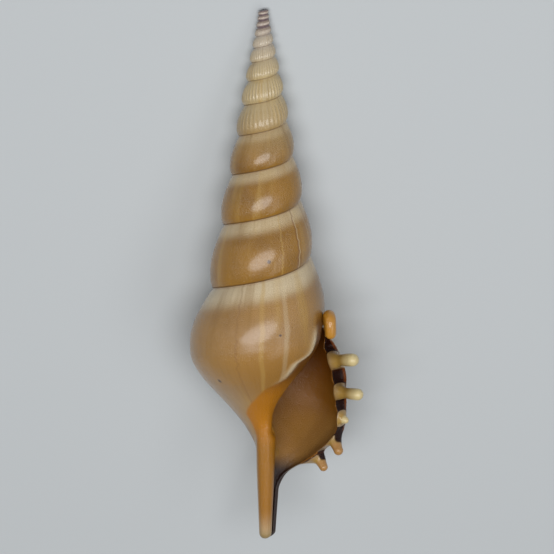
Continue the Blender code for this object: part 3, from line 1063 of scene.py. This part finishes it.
def glazed(colour, depth, blotches, callus, ridge, tint):
    """The outside with the callus over it, its pale edge, the pale rib crests brightened as a painted
    highlight, and the pale end of the canal.
    """
    glaze = depth.smooth_step(*CALLUS_PALER).blend(tint, CALLUS_TAN)
    glaze = (depth.smooth_step(*CANAL_PALER) * 0.5).blend(glaze, PEARL)
    glaze = depth.smooth_step(*CALLUS_TOP).blend(glaze, CALLUS_BROWN)
    colour = (callus * (0.9 + 0.1 * blotches)).blend(colour, glaze)
    colour = (ridge * 0.9).blend(colour, PEARL)
    return depth.smooth_step(*CANAL_TIP).blend(colour, TIP_WHITE)


def wall_colour(depth, inside, noises, mouth, dark):
    """The mouth's inside, which is deeper brown at the top, with painted shade inside the canal in the
    notches' colour.
    """
    blotches, streaks, _ = noises
    wall = inside.smooth_step(*DEEPER_IN).blend(MOUTH_TAN, MOUTH_DEEP)
    wall = depth.smooth_step(*MOUTH_LOWER).blend(wall, mouth)
    wall = (blotches.smooth_step(0.4, 0.62) * 0.3).blend(wall, MOUTH_TAN)
    low_lip = depth.smooth_step(*GREY_LIP_DEPTH) * inside.smooth_step(*NEAR_LIP)
    wall = (low_lip * 0.5).blend(wall, LIP_GREY)
    wall = (inside.smooth_step(*INNER_EDGE) * 0.5).blend(wall, LIP_GOLD)
    wall = (streaks.smooth_step(0.5, 0.7) * 0.25).blend(wall, MOUTH_DEEP)
    # Painted shade: the canal's inside goes to the notches' dark colour.
    return depth.smooth_step(*CANAL_PAINTED_SHADE).blend(wall, dark)


def stain_colour(inside, fine, dark):
    """The notches: nearly black across the lip's end, and rusty at its margins."""
    middle = inside.smooth_step(0.04, 0.2) * inside.smooth_step(1.0, 0.86)
    rust = inside.smooth_step(0.75, 0.95).blend(RUST, LIP_GOLD)
    return (middle * (1 - 0.5 * fine.smooth_step(0.52, 0.66))).blend(rust, dark)


def prong_colour(depth, prong, notch, fingers, hook, dark):
    """The fingers with their pale tips brightened as a painted highlight, the golden teeth with a stained
    flank, and the hook.
    """
    finger = prong.smooth_step(0.4, 0.1).blend(fingers, ROOT_TAN)
    # The tips are paler, and brightened as a painted highlight.
    finger = prong.smooth_step(0.6, 1.0).blend(finger, PALE_TIP_AND_HIGHLIGHT)
    teeth = depth.smooth_step(*GOLDEN_TEETH) * prong.smooth_step(0.3, 0.8)
    finger = teeth.blend(finger, TOOTH_GOLD)
    finger = notch.smooth_step(0.1, 0.6).blend(finger, dark)
    return depth.smooth_step(*GOLDEN_HOOK).blend(finger, hook)


def shell_colour(coil, where, mark, noises, colours):
    """The colour all over: the outside, then the inside, the lip's end and the prongs over it."""

    def chosen(name):
        return (*getattr(colours, name), 1.0)

    depth = coil[2]
    inside, margin, prong = where
    callus, ridge, notch = mark
    blotches, _, fine = noises
    dark = chosen("notches")
    colour = marked(whorl_colour(coil, noises, chosen("shell")), coil, chosen("apex"))
    lip = depth.smooth_step(*LIP_TOP_COLOUR) * depth.smooth_step(*LIP_FOOT_COLOUR)
    colour = (margin.smooth_step(*STRAW_MARGIN) * lip * 0.8).blend(colour, LIP_STRAW)
    colour = glazed(colour, depth, blotches, callus, ridge, chosen("callus"))
    wall = wall_colour(depth, inside, noises, chosen("mouth"), dark)
    colour = (inside.smooth_step(0.9, 1.002) * (1 - callus)).blend(colour, wall)
    rim_colour = depth.smooth_step(*RIM_BUFF).blend(ROOT_TAN, LIP_BUFF)
    rim_colour = depth.smooth_step(*RIM_DARK).blend(rim_colour, dark)
    rim = inside.smooth_step(0.0, 0.04) * inside.smooth_step(1.01, 0.98)
    colour = rim.blend(colour, rim_colour)
    colour = notch.smooth_step(0.1, 0.5).blend(colour, stain_colour(inside, fine, dark))
    finger = prong_colour(depth, prong, notch, chosen("fingers"), chosen("hook"), dark)
    return prong.smooth_step(0.0, 0.12).blend(colour, finger)


def corner_values(shade, name):
    """The three values of one of the layers on the faces' corners."""
    vector = shade.node("ShaderNodeAttribute", output=1, attribute_name=name)
    split = shade.node("ShaderNodeSeparateXYZ", {0: vector})
    return [Shade(shade.tree, socket) for socket in split.socket.node.outputs]


def shell_material(colours):
    """Polished shell, with a duller finish inside and another in the stained notches."""
    material = bpy.data.materials.new("polished_shell")
    material.use_nodes = True
    tree = material.node_tree
    tree.nodes.clear()
    shade = Shade(tree)
    coil, where, mark = (corner_values(shade, name) for name in CORNER_LAYERS)
    turn, _, depth = coil
    blotches = growth_noise(turn, depth, 4, 0.08)
    streaks = growth_noise(turn, depth, 16, 0.03)
    fine = growth_noise(turn, depth, 150, 0.12)
    threads = growth_noise(turn, depth, 3.0, 3.0)
    grain = {0: shade.node("ShaderNodeTexCoord", output=3), 1: GRAIN_STRETCH, 2: GRAIN_START}
    grain = shade.node("ShaderNodeVectorMath", grain, operation="MULTIPLY_ADD")
    pits = shade.node("ShaderNodeTexNoise", {"Vector": grain, "Scale": PIT_SCALE, "Detail": 3.0})
    dents = shade.node("ShaderNodeTexNoise", {"Vector": grain, "Scale": DENT_SCALE, "Detail": 2.0})
    colour = shell_colour(coil, where, mark, (blotches, streaks, fine), colours)
    height = fine * 0.8 + streaks * 2.4 + threads * 0.4 + pits * 0.2 + dents * 3.0
    bump = shade.node("ShaderNodeBump", {"Height": height, "Strength": 0.5, "Distance": UNEVENNESS})
    inside = where[0].smooth_step(0.5, 1.2)
    dull = inside.maths("MAXIMUM", mark[0] * COAT_LOST_ON_CALLUS)
    polished = {
        "Base Color": colour,
        "Roughness": 0.25 + 0.16 * pits.smooth_step(0.4, 0.7) + 0.06 * streaks,
        "Specular IOR Level": GLOSS,
        "Coat Weight": COAT - COAT_LOST_INSIDE * dull,
        "Coat Roughness": COAT_ROUGHNESS,
        "Normal": bump,
    }
    stained = {
        "Base Color": colour,
        "Roughness": STAIN_ROUGHNESS,
        "Specular IOR Level": STAIN_GLOSS,
        "Normal": bump,
    }
    sockets = {
        0: mark[2].smooth_step(0.15, 0.6),
        1: shade.node("ShaderNodeBsdfPrincipled", polished),
        2: shade.node("ShaderNodeBsdfPrincipled", stained),
    }
    finish = shade.node("ShaderNodeMixShader", sockets)
    output = tree.nodes.new("ShaderNodeOutputMaterial")
    tree.links.new(finish.socket, output.inputs["Surface"])
    return material


class SHELL_OT_shell(Operator):
    """Builds the shell as one closed piece and gives it its finish"""

    bl_idname = "shell.add_shell"
    bl_label = "Add shell"

    def execute(self, context):
        bm = shell_mesh(context.scene.shell_sizes)
        bmesh.ops.transform(bm, matrix=resting_matrix(bm), verts=bm.verts)
        mesh = bpy.data.meshes.new("tibia_shell")
        bm.to_mesh(mesh)
        bm.free()
        mesh.shade_smooth()
        mesh.materials.append(shell_material(context.scene.shell_colours))
        shell = bpy.data.objects.new("tibia_shell", mesh)
        context.scene.collection.objects.link(shell)
        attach(shell, "root")
        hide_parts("shell")
        return {"FINISHED"}


def plain_material(name, colour, roughness):
    material = bpy.data.materials.new(name)
    material.use_nodes = True
    shader = material.node_tree.nodes["Principled BSDF"]
    shader.inputs["Base Color"].default_value = (*colour, 1.0)
    shader.inputs["Roughness"].default_value = roughness
    return material


def add_area_light(name, width, power, offset, look_at):
    """A soft light above the shell that looks at its middle."""
    lamp = bpy.data.lights.new(name, "AREA")
    lamp.shape = "ELLIPSE"
    lamp.size = width
    lamp.size_y = width * LIGHT_HEIGHT
    lamp.energy = power
    light = bpy.data.objects.new(name, lamp)
    bpy.context.scene.collection.objects.link(light)
    light.location = look_at + Vector(offset)
    light.rotation_euler = (look_at - light.location).to_track_quat("-Z", "Y").to_euler()


class SHELL_OT_stage(Operator):
    """Adds the floor, the soft lights and the camera"""

    bl_idname = "shell.add_stage"
    bl_label = "Add stage"

    def execute(self, context):
        stage = context.scene.shell_stage
        bm = bmesh.new()
        bmesh.ops.create_grid(bm, x_segments=1, y_segments=1, size=FLOOR_SIZE)
        mesh = bpy.data.meshes.new("floor")
        bm.to_mesh(mesh)
        bm.free()
        mesh.materials.append(plain_material("plain_floor", stage.floor_colour, FLOOR_ROUGHNESS))
        floor = bpy.data.objects.new("floor", mesh)
        context.scene.collection.objects.link(floor)
        low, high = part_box("shell")
        centre = Vector([(a + b) / 2 for a, b in zip(low, high)])
        lie = Matrix.Rotation(PITCH, 3, "X")
        aim = centre + Vector(stage.aim)
        ahead = lie @ Vector((0, math.sin(stage.tilt), math.cos(stage.tilt)))
        across = Vector((1, 0, 0))
        camera_data = bpy.data.cameras.new("camera")
        camera_data.lens = stage.lens
        camera_data.clip_start = CLIP_START
        camera = bpy.data.objects.new("camera", camera_data)
        context.scene.collection.objects.link(camera)
        up = ahead.cross(across).normalized()
        turn = Matrix((across, up, ahead)).transposed().to_4x4() @ Matrix.Rotation(stage.roll, 4, "Z")
        camera.matrix_world = Matrix.Translation(aim + ahead * stage.distance) @ turn
        context.scene.camera = camera
        add_area_light("key_light", *KEY_LIGHT, centre)
        add_area_light("fill_light", *FILL_LIGHT, centre)
        world = bpy.data.worlds.new("studio")
        world.use_nodes = True
        background = world.node_tree.nodes["Background"]
        background.inputs["Color"].default_value = SKY_COLOUR
        background.inputs["Strength"].default_value = SKY_STRENGTH
        context.scene.world = world
        context.scene.view_settings.view_transform = "Standard"
        return {"FINISHED"}


class VIEW3D_PT_shell(Panel):
    """Lists what the shell and its stage are made with"""

    bl_label = "Tibia shell"
    bl_space_type = "VIEW_3D"
    bl_region_type = "UI"
    bl_category = "Shell"

    def draw(self, context):
        layout = self.layout
        scene = context.scene
        for group in (scene.shell_sizes, scene.shell_colours, scene.shell_stage):
            column = layout.column()
            for name in group.__annotations__:
                column.prop(group, name)
        layout.operator(SHELL_OT_shell.bl_idname)
        layout.operator(SHELL_OT_stage.bl_idname)


CLASSES = (ShellSizes, ShellColours, ShellStage, SHELL_OT_shell, SHELL_OT_stage, VIEW3D_PT_shell)


def register():
    for cls in CLASSES:
        bpy.utils.register_class(cls)
    bpy.types.Scene.shell_sizes = PointerProperty(type=ShellSizes)
    bpy.types.Scene.shell_colours = PointerProperty(type=ShellColours)
    bpy.types.Scene.shell_stage = PointerProperty(type=ShellStage)


def unregister():
    del bpy.types.Scene.shell_stage
    del bpy.types.Scene.shell_colours
    del bpy.types.Scene.shell_sizes
    for cls in reversed(CLASSES):
        bpy.utils.unregister_class(cls)


def main():
    register()
    bpy.ops.shell.add_shell()
    bpy.ops.shell.add_stage()


if __name__ == "__main__":
    main()
